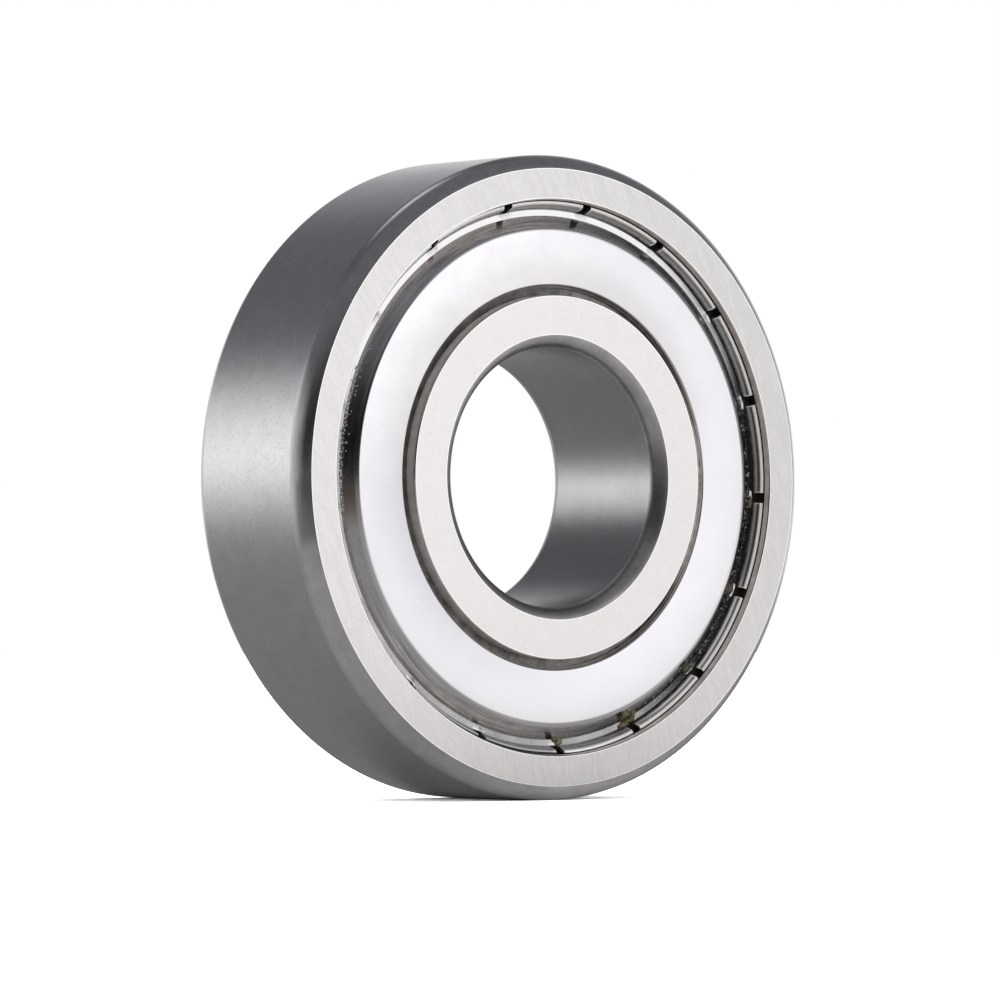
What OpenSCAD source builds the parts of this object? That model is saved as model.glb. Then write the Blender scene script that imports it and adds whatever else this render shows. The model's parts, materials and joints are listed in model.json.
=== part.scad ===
// Deep-groove ball bearing with a pressed steel shield on each side.
// Every piece is drawn about the local Z axis, front side up, and place() then
// turns it so that the bearing stands on its rim: the bearing axis lies along
// Y, the front face looks towards -Y, and the origin is the bearing's centre.

/* [Boundary sizes] */
// Diameter of the bore that fits the shaft
bore_d = 25; // [23:0.5:26]
// Diameter of the outside that fits the housing
outer_d = 62; // [60:0.5:68]
// Width of both rings, from face to face
ring_w = 17; // [16:0.5:22]

/* [Ring corners] */
// Corner of the bore, measured along the face
bore_corner_radial = 1.16; // [0.6:0.02:1.5]
// Corner of the bore, measured along the axis
bore_corner_axial = 1.4; // [0.8:0.05:2]
// Corner of the outside, measured along the face
rim_corner_radial = 1.33; // [0.6:0.01:1.8]
// Corner of the outside, measured along the axis
rim_corner_axial = 1.63; // [0.8:0.01:2.2]
// Radius of the arc that rounds all four corners
corner_arc_r = 1.9; // [1.6:0.05:4]
// Small bevel on the crisp edges of the ground faces
edge_break = 0.08; // [0.02:0.01:0.15]

/* [Raceways] */
// Radial depth of each raceway below its shoulder
race_depth = 2.315; // [1.6:0.005:2.6]
// How much larger the raceway's radius is than the ball's
race_opening = 0.225; // [0.1:0.005:0.4]
// Running clearance between a ball and each raceway
race_clearance = 0.01; // [0.01:0.005:0.05]

/* [Inner ring] */
// Radial step from the shoulder down to the land beside the shield
land_step = 0.8; // [0.5:0.05:1.2]
// Axial length of the land
land_l = 1.28; // [1.1:0.02:2]

/* [Outer ring] */
// Radial step from the shoulder out to the lip that traps the shield
recess_step = 1.42; // [1.35:0.01:1.6]
// How much wider the recess is at the face than at the lip, on the radius
recess_flare = 0.06; // [0.02:0.01:0.15]
// Axial height of the lip
lip_h = 0.66; // [0.5:0.01:0.8]
// Radial depth of the groove behind the lip
groove_depth = 0.43; // [0.35:0.01:0.5]

/* [Balls] */
// Number of balls
ball_count = 7; // [5:1:8]
// Diameter of a ball
ball_d = 11.51; // [10.6:0.01:11.9]

/* [Cage] */
// Thickness of the cage's sheet
cage_sheet = 1; // [0.7:0.05:1.3]
// Radial width of the cage's ribbon
cage_band = 3.8; // [3.4:0.1:4.2]
// Clearance between a ball and its pocket
pocket_clearance = 0.12; // [0.06:0.01:0.3]
// Diameter of a rivet's shank
rivet_d = 1.8; // [1.2:0.1:2.2]
// Diameter of a rivet's head
rivet_head_d = 3.2; // [2.6:0.1:3.3]
// Height of a rivet's head
rivet_head_h = 0.8; // [0.5:0.05:1.1]
// Clearance between a rivet's shank and its hole
rivet_clearance = 0.02; // [0.01:0.01:0.05]

/* [Shields] */
// Thickness of the shield's sheet
shield_sheet = 0.3; // [0.25:0.01:0.35]
// Depth of the shield's flat face below the ring faces
shield_sink = 0.55; // [0.4:0.05:0.7]
// Depth of the channel's floor below the ring faces
channel_sink = 1.7; // [1.6:0.05:1.9]
// Radial gap between the shield's inner edge and the inner ring's land
shield_gap = 1; // [0.3:0.05:1.2]
// Radial distance from the lip in to the edge of the flat face
flat_inset = 2.85; // [2.7:0.05:3.1]
// Radial run of the slanted wall between the flat face and the channel
slant_run = 1.35; // [1.1:0.05:1.45]
// Bend radius at the edge of the flat face, on the middle of the sheet
shoulder_bend = 0.65; // [0.4:0.05:0.9]
// Bend radius at both sides of the channel's floor, on the middle of the sheet
channel_bend = 0.25; // [0.2:0.01:0.3]

/* [Shield tabs] */
// Radial distance from the lip in to the foot of the tabs, on the middle of the sheet
tab_inset = 0.67; // [0.6:0.01:0.75]
// Angle that the tabs lean out by
tab_lean = 22; // [18:1:24]
// Bend radius at the top of the tabs, on the middle of the sheet
tab_bend = 0.2; // [0.18:0.01:0.24]
// Axial clearance between the lip and the tabs' ends
lip_clearance = 0.1; // [0.05:0.01:0.2]
// Radial clearance between the tabs' ends and the groove
groove_clearance = 0.05; // [0.03:0.01:0.1]
// Number of slots that split the rim into tabs
slot_count = 17; // [12:1:24]
// Width of a slot
slot_w = 1; // [0.7:0.05:1.3]
// Distance that a slot runs in past the bend, over the channel's flat floor
slot_reach = 0.03; // [0.02:0.01:0.1]
// Angle of the first slot, from +X towards +Z
slot_phase = -3.6; // [-10:0.1:10]

/* [Hidden] */
$fn = 96;

// How far a cutting shape runs past the face that it opens
over = 1;
// Largest angle between two points on a bend of the shield's sheet
bend_step = 20;
// Angle of the first ball, at the top
first_ball = 90;

half_w = ring_w / 2;
bore_r = bore_d / 2;
outer_r = outer_d / 2;
// The ball circle lies midway between the bore and the outside
pitch_r = (bore_r + outer_r) / 2;
ball_r = ball_d / 2;
race_r = ball_r + race_opening;

// Raceway bottoms, shoulders and the arcs' centres
inner_race_r = pitch_r - ball_r - race_clearance;
outer_race_r = pitch_r + ball_r + race_clearance;
inner_shoulder_r = inner_race_r + race_depth;
outer_shoulder_r = outer_race_r - race_depth;
inner_arc_centre = [inner_race_r + race_r, 0];
outer_arc_centre = [outer_race_r - race_r, 0];

// Seats of the shields
land_r = inner_shoulder_r - land_step;
recess_r = outer_shoulder_r + recess_step;
groove_r = recess_r + groove_depth;
seat_z = half_w - channel_sink - shield_sheet;

// Cage
pocket_r = ball_r + pocket_clearance;
pocket_outer_r = pocket_r + cage_sheet;
cage_inner_r = pitch_r - cage_band / 2;
cage_outer_r = pitch_r + cage_band / 2;
ball_step = 360 / ball_count;
// The head is a cap of the sphere through its rim and its crown
head_r = rivet_head_d / 2;
head_sphere_r = (head_r * head_r + rivet_head_h * rivet_head_h) / (2 * rivet_head_h);

// Middle line of the shield's sheet, from its inner edge to the ends of its tabs
sheet_half = shield_sheet / 2;
flat_r = recess_r - flat_inset;
flat_z = half_w - shield_sink - sheet_half;
floor_z = half_w - channel_sink - sheet_half;
tab_foot_r = recess_r - tab_inset;
tab_end_z = half_w - lip_h - lip_clearance - sheet_half;
tab_top_r = tab_foot_r + (tab_end_z - floor_z) * tan(tab_lean);
shield_path = [
    [land_r + shield_gap, flat_z],
    [flat_r, flat_z],
    [flat_r + slant_run, floor_z],
    [tab_foot_r, floor_z],
    [tab_top_r, tab_end_z],
    [groove_r - groove_clearance, tab_end_z]
];
shield_bends = [0, shoulder_bend, channel_bend, channel_bend, tab_bend, 0];
slot_inner_r = tab_foot_r - channel_bend * tan((90 - tab_lean) / 2) - slot_reach;
slot_angle = 2 * asin(slot_w / 2 / tab_top_r);

// ---- Small geometry helpers ----

function unit(v) = v / norm(v);
function left_of(v) = [-v[1], v[0]];
// Direction of the path before and after point i
function dir_in(path, i) = unit(path[i] - path[i - 1]);
function dir_out(path, i) = unit(path[i + 1] - path[i]);
// +1 where the path turns left at point i, -1 where it turns right
function side(path, i) = sign(cross(dir_in(path, i), dir_out(path, i)));
function turn_angle(path, i) = acos(dir_in(path, i) * dir_out(path, i));
// Direction from the path to the centre of its bend, where the bend at point i starts
function to_centre(path, i) = left_of(dir_in(path, i)) * side(path, i);
function turned(v, a) = [v[0] * cos(a) - v[1] * sin(a), v[0] * sin(a) + v[1] * cos(a)];
// Centre of the bend of radius r at point i
function bend_centre(path, r, i) =
    path[i] - dir_in(path, i) * r * tan(turn_angle(path, i) / 2) + to_centre(path, i) * r;
// Points of the bend at point i, on the line that runs the distance off to the left of the path
function bend_points(path, r, i, off) =
    let (
        turn = side(path, i) * turn_angle(path, i),
        steps = ceil(abs(turn) / bend_step),
        edge_r = r - side(path, i) * off
    )
    [for (k = [0 : steps]) bend_centre(path, r, i) - turned(to_centre(path, i), turn * k / steps) * edge_r];
// One edge of a sheet that follows a path with rounded bends
function sheet_edge(path, bends, off) =
    let (last = len(path) - 1)
    concat(
        [path[0] + left_of(dir_out(path, 0)) * off],
        [for (i = [1 : last - 1]) each bend_points(path, bends[i], i, off)],
        [path[last] + left_of(dir_in(path, last)) * off]
    );
function reversed(list) = [for (i = [len(list) - 1 : -1 : 0]) list[i]];
// Centre of the arc of radius r through a and b, on the left of the way from a to b
function arc_centre(a, b, r) =
    (a + b) / 2 + left_of(unit(b - a)) * sqrt(r * r - norm(b - a) * norm(b - a) / 4);

// Turns a piece from its local axis to the bearing's own place
module place() {
    rotate([90, 0, 0]) children();
}

// Draws its children on the front side and again on the rear side
module both_sides() {
    children();
    mirror([0, 1]) children();
}

// Section of a sheet that follows a path with rounded bends
module sheet_section(path, bends, sheet) {
    polygon(concat(sheet_edge(path, bends, -sheet / 2), reversed(sheet_edge(path, bends, sheet / 2))));
}

// What is cut from a ring's square corner at [r, half_w] to leave its rounded one.
// way is +1 for a corner on the outside and -1 for one in the bore.
module corner_cut(r, radial, axial, way) {
    on_side = [r, half_w - axial];
    on_face = [r - way * radial, half_w];
    ends = way > 0 ? [on_side, on_face] : [on_face, on_side];
    difference() {
        polygon([
            on_side,
            on_side + [way * over, 0],
            [on_side[0] + way * over, on_face[1] + over],
            on_face + [0, over],
            on_face
        ]);
        translate(arc_centre(ends[0], ends[1], corner_arc_r)) circle(r = corner_arc_r);
    }
}

// ---- Rings ----

module outer_recess() {
    mouth_r = recess_r + recess_flare;
    polygon([
        [outer_shoulder_r - over, half_w + over],
        [mouth_r + edge_break + over, half_w + over],
        [mouth_r, half_w - edge_break],
        [recess_r, half_w - lip_h],
        [groove_r, half_w - lip_h],
        [groove_r, seat_z],
        [outer_shoulder_r - over, seat_z]
    ]);
}

module outer_section() {
    difference() {
        translate([outer_shoulder_r, -half_w]) square([outer_r - outer_shoulder_r, ring_w]);
        translate(outer_arc_centre) circle(r = race_r);
        both_sides() outer_recess();
        both_sides() corner_cut(outer_r, rim_corner_radial, rim_corner_axial, 1);
    }
}

module inner_step() {
    polygon([
        [land_r, half_w - land_l],
        [inner_shoulder_r + over, half_w - land_l],
        [inner_shoulder_r + over, half_w + over],
        [land_r - edge_break - over, half_w + over],
        [land_r, half_w - edge_break]
    ]);
}

module inner_section() {
    difference() {
        translate([bore_r, -half_w]) square([inner_shoulder_r - bore_r, ring_w]);
        translate(inner_arc_centre) circle(r = race_r);
        both_sides() inner_step();
        both_sides() corner_cut(bore_r, bore_corner_radial, bore_corner_axial, -1);
    }
}

module outer_ring() {
    color("silver") place() rotate_extrude() outer_section();
}

module inner_ring() {
    color("silver") place() rotate_extrude() inner_section();
}

// ---- Shields ----

// One slot, centred on the local X axis
module slot() {
    length = groove_r + over - slot_inner_r;
    height = half_w + over - seat_z;
    rotate([0, 0, -slot_angle / 2]) rotate_extrude(angle = slot_angle)
        translate([slot_inner_r, seat_z - over / 2]) square([length, height]);
}

module shield() {
    difference() {
        rotate_extrude() sheet_section(shield_path, shield_bends, shield_sheet);
        for (k = [0 : slot_count - 1]) rotate([0, 0, slot_phase + k * 360 / slot_count]) slot();
    }
}

module shield_front() {
    color("gainsboro") place() shield();
}

module shield_rear() {
    color("gainsboro") place() mirror([0, 0, 1]) shield();
}

// ---- Balls, cage and rivets ----

module at_ball(i) {
    rotate([0, 0, first_ball + (i - 1) * ball_step]) translate([pitch_r, 0, 0]) children();
}

module at_rivet(i) {
    rotate([0, 0, first_ball + (i - 0.5) * ball_step]) translate([pitch_r, 0, 0]) children();
}

module ball(i) {
    color("lightsteelblue") place() at_ball(i) sphere(r = ball_r);
}

module rivet_hole() {
    translate([0, 0, -over]) cylinder(r = rivet_d / 2 + rivet_clearance, h = cage_sheet + 2 * over);
}

// One of the two stamped ribbons, with its flats on the middle plane and its pockets towards +Z
module cage_half() {
    difference() {
        intersection() {
            union() {
                cylinder(r = cage_outer_r + over, h = cage_sheet);
                for (i = [1 : ball_count]) at_ball(i) sphere(r = pocket_outer_r);
            }
            difference() {
                cylinder(r = cage_outer_r, h = pocket_outer_r + over);
                translate([0, 0, -over]) cylinder(r = cage_inner_r, h = pocket_outer_r + 3 * over);
            }
        }
        for (i = [1 : ball_count]) at_ball(i) sphere(r = pocket_r);
        for (i = [1 : ball_count]) at_rivet(i) rivet_hole();
    }
}

module cage_front() {
    color("darkgray") place() cage_half();
}

module cage_rear() {
    color("darkgray") place() mirror([0, 0, 1]) cage_half();
}

module rivet_head() {
    intersection() {
        translate([0, 0, cage_sheet + rivet_head_h - head_sphere_r]) sphere(r = head_sphere_r);
        translate([0, 0, cage_sheet]) cylinder(r = head_r + over, h = rivet_head_h + over);
    }
}

module rivet(i) {
    color("dimgray") place() at_rivet(i) {
        translate([0, 0, -cage_sheet]) cylinder(d = rivet_d, h = 2 * cage_sheet);
        rivet_head();
        mirror([0, 0, 1]) rivet_head();
    }
}

outer_ring();
inner_ring();
shield_front();
shield_rear();
cage_front();
cage_rear();
for (i = [1 : ball_count]) ball(i);
for (i = [1 : ball_count]) rivet(i);
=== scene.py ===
"""Looks of a shielded ball bearing: turned rings and pressed shields with their finishes, grease
at the slots, and the studio around them. Shapes are worked out in millimetres, in the bearing's
section plane: r is the distance from its axis and z the height towards the front face."""

import json
import random
from collections import namedtuple
from functools import partial, reduce
from math import asin, atan2, cos, degrees, pi, radians, sin, sqrt, tan
from types import SimpleNamespace

import bmesh
import bpy
from mathutils import Matrix, Vector, noise as solid_noise


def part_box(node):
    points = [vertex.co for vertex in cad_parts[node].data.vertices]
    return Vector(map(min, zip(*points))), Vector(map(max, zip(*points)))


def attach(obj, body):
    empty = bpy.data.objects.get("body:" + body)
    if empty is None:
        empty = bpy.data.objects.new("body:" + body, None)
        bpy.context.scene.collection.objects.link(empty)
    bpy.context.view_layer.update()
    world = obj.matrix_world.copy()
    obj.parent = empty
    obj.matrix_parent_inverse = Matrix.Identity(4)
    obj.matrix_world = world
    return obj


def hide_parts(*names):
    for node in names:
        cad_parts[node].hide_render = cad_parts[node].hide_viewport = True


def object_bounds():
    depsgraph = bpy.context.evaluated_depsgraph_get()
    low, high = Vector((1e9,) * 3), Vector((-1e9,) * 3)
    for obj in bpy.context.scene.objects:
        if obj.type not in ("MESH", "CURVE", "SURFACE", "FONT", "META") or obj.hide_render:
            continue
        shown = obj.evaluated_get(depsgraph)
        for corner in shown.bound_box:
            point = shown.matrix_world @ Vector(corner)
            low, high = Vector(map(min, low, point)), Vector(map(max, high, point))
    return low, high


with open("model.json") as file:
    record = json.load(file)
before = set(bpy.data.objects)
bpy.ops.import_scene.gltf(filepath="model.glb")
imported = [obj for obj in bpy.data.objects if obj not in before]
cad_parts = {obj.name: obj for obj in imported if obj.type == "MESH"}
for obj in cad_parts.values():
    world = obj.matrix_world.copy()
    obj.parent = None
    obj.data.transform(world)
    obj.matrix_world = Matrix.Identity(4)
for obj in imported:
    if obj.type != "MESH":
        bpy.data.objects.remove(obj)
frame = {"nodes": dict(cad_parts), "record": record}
CAD_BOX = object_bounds()

MM = 0.001


# ---- Sizes, from the frame where it has them ----

MOUNTS = {mount["name"]: mount["dims"] for mount in frame["record"]["mounts"]}
OUTER_R = MOUNTS["outside"]["r_mm"]
BORE_R = MOUNTS["bore"]["r_mm"]
HALF_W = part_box("outer_ring")[1].y / MM
INNER_SHOULDER_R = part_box("inner_ring")[1].x / MM
PITCH_R = (BORE_R + OUTER_R) / 2
BALL_R = (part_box("ball_1")[1].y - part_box("ball_1")[0].y) / 2 / MM


def heading(angle):
    """The direction (r, z) at that angle in degrees, from outward round to the front."""
    return (cos(radians(angle)), sin(radians(angle)))


# Ring corners, raceways and steps. A corner is its size along the radius and along the axis.
RIM_CORNER = (1.33, 1.63)
BORE_CORNER = (1.16, 1.4)
# Ways in which the corners' curves meet the faces
RIM_CORNER_END = heading(152)
BORE_CORNER_START = heading(-162)
# Shares of a corner's chord over which its curve keeps its first and its last way
RIM_CORNER_PULLS = (0.27, 0.37)
BORE_CORNER_PULLS = (0.37, 0.37)
CORNER_STEPS = 14
RACE_STEPS = 16
EDGE_BREAK = 0.08
RUBBED_EDGE = 0.07
RACE_OPENING = 0.225
RACE_CLEARANCE = 0.01
LAND_R = 17.5
LAND_L = 1.28
OUTER_SHOULDER_R = 25.2
RECESS_R = 26.62
RECESS_FLARE = 0.06
LIP_H = 0.66
GROOVE_R = 27.05

# Shield
SHEET = 0.3
SHIELD_INNER_R = 18.5
EDGE_ROLL = 0.12
FLAT_SINK = 0.55
FLAT_R = 23.77
SLANT_RUN = 1.35
CHANNEL_SINK = 1.7
SHOULDER_BEND = 0.65
CHANNEL_BEND = 0.25
# Steps round a bend and round the rolled edge, and how far on either side of a bend its points begin
BEND_STEPS = 8
ROLL_STEPS = 5
BEND_HOLD = 0.04
SEAT_Z = HALF_W - CHANNEL_SINK - SHEET
SLANT_FOOT_R = FLAT_R + SLANT_RUN

# Tabs of the shield and the slots between them
TAB_FOOT_R = 25.95
TAB_LEAN = radians(22)
TAB_BEND = 0.2
LIP_CLEARANCE = 0.1
GROOVE_CLEARANCE = 0.05
TAB_END_Z = HALF_W - LIP_H - LIP_CLEARANCE - SHEET / 2
TAB_TOP_R = TAB_FOOT_R + (TAB_END_Z - SEAT_Z - SHEET / 2) * tan(TAB_LEAN)
SLOT_COUNT = 17
SLOT_W = 1
SLOT_PHASE = -3.6
SLOT_REACH = 0.03
SLOT_INNER_R = TAB_FOOT_R - CHANNEL_BEND * tan((pi / 2 - TAB_LEAN) / 2) - SLOT_REACH
# Height of the burr round a slot's inner end, and its reach in half slot widths
BURR_H = 0.16
BURR_REACH = 2.2

# Grease on the inner ring's step: how far it stands out past the shoulder and reaches into the
# ring, its thickness, and how far its middle lies above the step
GREASE_REACH = 0.75
GREASE_ROOT = 0.06
GREASE_H = 0.42
GREASE_LIFT = 0.12
# Added to a half round's radius, so that rounding can't leave it below half the chord
ROUND_SLACK = 0.001
GREASE_STEPS = 6

SEGMENTS = 384


# ---- Sections: closed outlines of lines and arcs, with true normals ----

Span = namedtuple("Span", "points normals finish")


def lines(start, *spans):
    """Straight spans of an outline that has its metal on the left. Each is its finish and its end."""
    made = []
    for finish, end in spans:
        way = (Vector(end) - Vector(start)).normalized()
        normal = (way.y, -way.x)
        made.append(Span([start, end], [normal, normal], finish))
        start = end
    return made


def arc(a, b, radius, finish, steps, bulge=1):
    """A round span from a to b. bulge is +1 where it curves out of the metal and -1 into it."""
    a, b = Vector(a), Vector(b)
    way = (b - a).normalized()
    centre = (a + b) / 2 + bulge * way.orthogonal() * sqrt(radius ** 2 - (b - a).length_squared / 4)
    start = atan2(a.y - centre.y, a.x - centre.x)
    turn = bulge * 2 * asin((b - a).length / 2 / radius)
    points, normals = [], []
    for k in range(steps + 1):
        angle = start + turn * k / steps
        out = Vector((cos(angle), sin(angle)))
        points.append(tuple(centre + out * radius))
        normals.append(tuple(out * bulge))
    return Span(points, normals, finish)


def blend(a, way_a, b, way_b, finish, pulls):
    """A curved span from a to b that leaves along way_a and arrives along way_b."""
    a, b = Vector(a), Vector(b)
    chord = (b - a).length
    knots = (a, a + Vector(way_a) * chord * pulls[0], b - Vector(way_b) * chord * pulls[1], b)
    nought = Vector((0, 0))
    points, normals = [], []
    for k in range(CORNER_STEPS + 1):
        t = k / CORNER_STEPS
        s = 1 - t
        shares = (s ** 3, 3 * s * s * t, 3 * s * t * t, t ** 3)
        points.append(tuple(sum((knot * share for knot, share in zip(knots, shares)), nought)))
        slopes = (-s * s, s * s - 2 * s * t, 2 * s * t - t * t, t * t)
        way = sum((knot * slope for knot, slope in zip(knots, slopes)), nought).normalized()
        normals.append((way.y, -way.x))
    return Span(points, normals, finish)


def both_halves(front):
    """A closed outline from its front half, which starts and ends on the middle plane."""
    def mirrored(pairs):
        return [(r, -z) for r, z in reversed(pairs)]

    return front + [Span(mirrored(points), mirrored(normals), finish)
                    for points, normals, finish in reversed(front)]


def outer_ring_outline():
    radial, axial = RIM_CORNER
    race_r = BALL_R + RACE_OPENING
    race_bottom = PITCH_R + BALL_R + RACE_CLEARANCE
    race_z = sqrt(race_r ** 2 - (OUTER_SHOULDER_R - race_bottom + race_r) ** 2)
    wall = (OUTER_R, HALF_W - axial)
    rim = (OUTER_R - radial, HALF_W)
    mouth = (RECESS_R + RECESS_FLARE, HALF_W - EDGE_BREAK)
    brow = (mouth[0] + EDGE_BREAK, HALF_W)
    lip_z = HALF_W - LIP_H
    shoulder = (OUTER_SHOULDER_R, race_z)
    return both_halves([
        *lines((OUTER_R, 0), ("rim", wall)),
        blend(wall, (0, 1), rim, RIM_CORNER_END, "corner", RIM_CORNER_PULLS),
        *lines(rim, ("edge", (rim[0] - RUBBED_EDGE, HALF_W)), ("face", (brow[0] + RUBBED_EDGE, HALF_W)),
               ("edge", brow), ("mouth", mouth), ("recess", (RECESS_R, lip_z)),
               ("groove", (GROOVE_R, lip_z)), ("groove", (GROOVE_R, SEAT_Z)),
               ("groove", (OUTER_SHOULDER_R, SEAT_Z)), ("race", shoulder)),
        arc(shoulder, (race_bottom, 0), race_r, "race", RACE_STEPS, bulge=-1),
    ])


def inner_ring_outline():
    radial, axial = BORE_CORNER
    race_r = BALL_R + RACE_OPENING
    race_bottom = PITCH_R - BALL_R - RACE_CLEARANCE
    race_z = sqrt(race_r ** 2 - (race_bottom + race_r - INNER_SHOULDER_R) ** 2)
    shoulder = (INNER_SHOULDER_R, race_z)
    step_z = HALF_W - LAND_L
    lip = (LAND_R, HALF_W - EDGE_BREAK)
    brow = (LAND_R - EDGE_BREAK, HALF_W)
    mouth = (BORE_R + radial, HALF_W)
    wall = (BORE_R, HALF_W - axial)
    return both_halves([
        arc((race_bottom, 0), shoulder, race_r, "race", RACE_STEPS, bulge=-1),
        *lines(shoulder, ("race", (INNER_SHOULDER_R, step_z)), ("step", (LAND_R, step_z)), ("land", lip),
               ("edge", brow), ("edge", (brow[0] - RUBBED_EDGE, HALF_W)),
               ("face", (mouth[0] + RUBBED_EDGE, HALF_W)), ("edge", mouth)),
        blend(mouth, BORE_CORNER_START, wall, (0, -1), "bore_corner", BORE_CORNER_PULLS),
        *lines(wall, ("bore", (BORE_R, 0))),
    ])


# ---- Meshes ----

def placed(r, angle, z):
    """A point or direction of the section plane at that angle, in the bearing's own place."""
    return (r * cos(angle), -z, r * sin(angle))


def in_scene(name, data):
    """A new object of the scene."""
    made = bpy.data.objects.new(name, data)
    bpy.context.scene.collection.objects.link(made)
    return made


def new_object(name, verts, faces, finishes, materials):
    """A mesh object from points in millimetres. finishes names each face's finish."""
    mesh = bpy.data.meshes.new(name)
    mesh.from_pydata([tuple(c * MM for c in v) for v in verts], [], faces)
    used = sorted(set(finishes))
    for finish in used:
        mesh.materials.append(materials[finish])
    mesh.polygons.foreach_set("material_index", [used.index(f) for f in finishes])
    mesh.shade_smooth()
    mesh.update()
    return in_scene(name, mesh)


def lathe(name, outline, materials):
    """A ring turned from a closed outline, with the outline's own normals."""
    points, spans = [], []
    for span in outline:
        for k in range(len(span.points) - 1):
            spans.append((len(points), span.normals[k], span.normals[k + 1], span.finish))
            points.append(span.points[k])
    count = len(points)
    angles = [2 * pi * s / SEGMENTS for s in range(SEGMENTS)]
    verts = [placed(r, angle, z) for angle in angles for r, z in points]
    faces, finishes, normals = [], [], []
    for s in range(SEGMENTS):
        following = (s + 1) % SEGMENTS
        for j, first, last, finish in spans:
            after = (j + 1) % count
            faces.append((s * count + j, following * count + j, following * count + after, s * count + after))
            finishes.append(finish)
            for angle, (r, z) in ((angles[s], first), (angles[following], first),
                                  (angles[following], last), (angles[s], last)):
                normals.append(placed(r, angle, z))
    made = new_object(name, verts, faces, finishes, materials)
    made.data.normals_split_custom_set(normals)
    return made


def sheet_path():
    """Middle line of the shield's sheet with the radius of each bend, from its inner edge out."""
    flat = HALF_W - FLAT_SINK - SHEET / 2
    floor = SEAT_Z + SHEET / 2
    return [
        ((SHIELD_INNER_R, flat), 0),
        ((FLAT_R, flat), SHOULDER_BEND),
        ((SLANT_FOOT_R, floor), CHANNEL_BEND),
        ((TAB_FOOT_R, floor), CHANNEL_BEND),
        ((TAB_TOP_R, TAB_END_Z), TAB_BEND),
        ((GROOVE_R - GROOVE_CLEARANCE, TAB_END_Z), 0),
    ]


def sheet_sections():
    """Pairs of points (front side, back side) along the shield's sheet, dense on its bends. The
    sheared inner edge is rolled over on its front side."""
    path = [(Vector(at), bend) for at, bend in sheet_path()]
    ways = [(b - a).normalized() for (a, _), (b, _) in zip(path, path[1:])]
    pairs = []

    def put(point, way, inset=0):
        left = way.orthogonal()
        pairs.append((tuple(point + left * (SHEET / 2 - inset)), tuple(point - left * SHEET / 2)))

    for k in range(ROLL_STEPS + 1):
        turn = pi / 2 * k / ROLL_STEPS
        rolled = ways[0] * EDGE_ROLL * (1 - cos(turn))
        put(path[0][0] + rolled, ways[0], EDGE_ROLL * (1 - sin(turn)))
    for (at, bend), before, after in zip(path[1:], ways, ways[1:]):
        turn = before.angle_signed(after) * -1
        reach = bend * tan(abs(turn) / 2)
        side = 1 if turn > 0 else -1
        centre = at - before * reach + before.orthogonal() * side * bend
        put(at - before * (reach + BEND_HOLD), before)
        for k in range(BEND_STEPS + 1):
            way = Matrix.Rotation(turn * k / BEND_STEPS, 2) @ before
            put(centre - way.orthogonal() * side * bend, way)
        put(at + after * (reach + BEND_HOLD), after)
    put(path[-1][0], ways[-1])
    return pairs


def slot_cut(pairs):
    """Splits the section where the slots begin. Returns the pairs and the index of the cut."""
    for i in range(len(pairs) - 1):
        (r0, _), (r1, _) = pairs[i][0], pairs[i + 1][0]
        if r0 < SLOT_INNER_R < r1:
            share = (SLOT_INNER_R - r0) / (r1 - r0)
            cut = tuple(tuple(a + (b - a) * share for a, b in zip(p, q))
                        for p, q in zip(pairs[i], pairs[i + 1]))
            return pairs[:i + 1] + [cut] + pairs[i + 1:], i + 1
    raise ValueError("the slots begin beside the sheet")


def shield_angles(half_slot):
    """Angles round the shield, each with its distance from the nearest slot in half slots, and
    whether it is in the slot."""
    pitch = 360 / SLOT_COUNT
    in_slot = [-1, -0.6, -0.2, 0.2, 0.6]
    lead = [1, 1.25, 1.6, BURR_REACH]
    tab_steps = 12
    tab = pitch - 2 * lead[-1] * half_slot
    offsets = [f * half_slot for f in in_slot + lead]
    offsets += [lead[-1] * half_slot + tab * j / tab_steps for j in range(1, tab_steps + 1)]
    offsets += [pitch - f * half_slot for f in reversed(lead[1:-1])]
    made = []
    for k in range(SLOT_COUNT):
        for j, offset in enumerate(offsets):
            nearest = min(abs(offset), pitch - offset) / half_slot
            made.append((SLOT_PHASE + k * pitch + offset, nearest, j < len(in_slot)))
    return made


def burr(nearest, r, i, cut):
    """How far the channel's floor is bent up towards the front, beside the inner end of a slot."""
    if i > cut or r < SLANT_FOOT_R or nearest > BURR_REACH:
        return 0
    near = 1 - nearest / BURR_REACH
    share = (r - SLANT_FOOT_R) / (SLOT_INNER_R - SLANT_FOOT_R)
    return BURR_H * near * near * share * share


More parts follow.
